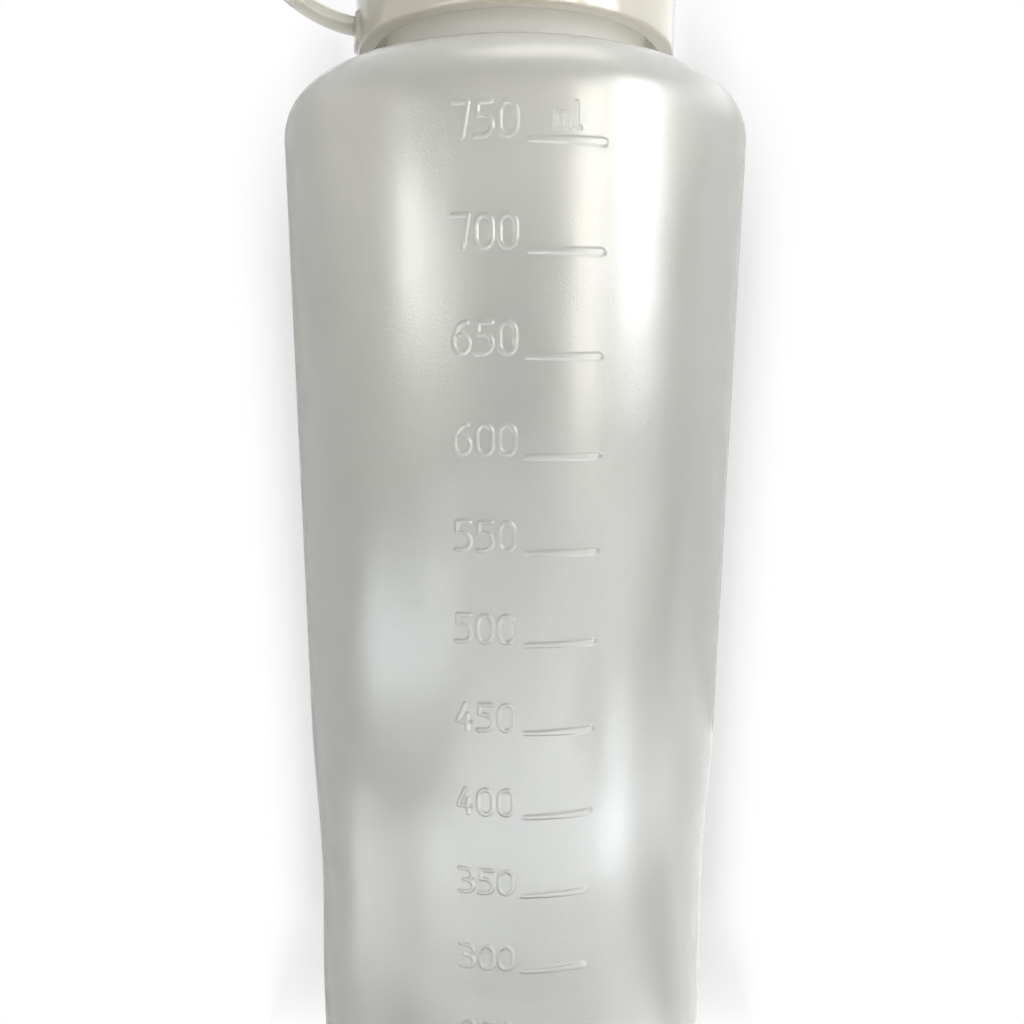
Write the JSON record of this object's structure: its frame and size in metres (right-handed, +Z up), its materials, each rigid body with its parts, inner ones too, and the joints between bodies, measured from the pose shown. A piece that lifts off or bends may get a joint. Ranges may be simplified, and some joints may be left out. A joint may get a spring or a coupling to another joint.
{
  "type": "squeeze bottle",
  "caption": "Round translucent squeeze bottle with a raised volume scale, screw cap with a conical nozzle, and a tip cover on a strap.",
  "frame": {"origin": "centre of the flat base, on the bottle's axis", "axes": "+Z up along the bottle's axis, -Y the side with the volume scale, +X to the right of someone who reads it"},
  "size_m": [0.0787, 0.0725, 0.2705],
  "materials": {
    "milky_body": "milky translucent polyethylene with a soft sheen",
    "white_closure": "smooth moulded polyethylene",
    "washer": "soft foam"
  },
  "bodies": {
    "bottle": {"bottle_body": "milky_body"},
    "seal": {"sealing_washer": "washer"},
    "cap": {"screw_cap": "white_closure", "tether_strap": "white_closure"},
    "cover": {"tip_cover": "white_closure"}
  },
  "joints": [
    {"name": "cap_rise", "type": "slide", "parent": "bottle", "child": "seal", "axis": [0, 0, 1], "range_m": [0, 0.0074]},
    {"name": "cap_turn", "type": "hinge", "parent": "seal", "child": "cap", "pos_m": [0, 0, 0.22], "axis": [0, 0, 1], "range_deg": [0, 630]},
    {"name": "cover_pull", "type": "slide", "parent": "cap", "child": "cover", "axis": [0, 0, 1], "range_m": [0, 0.018], "deforming": ["tether_strap"]}
  ],
  "couplings": [
    {"joint": "cap_rise", "follows": "cap_turn", "m_per_rad": 0.00066845}
  ]
}
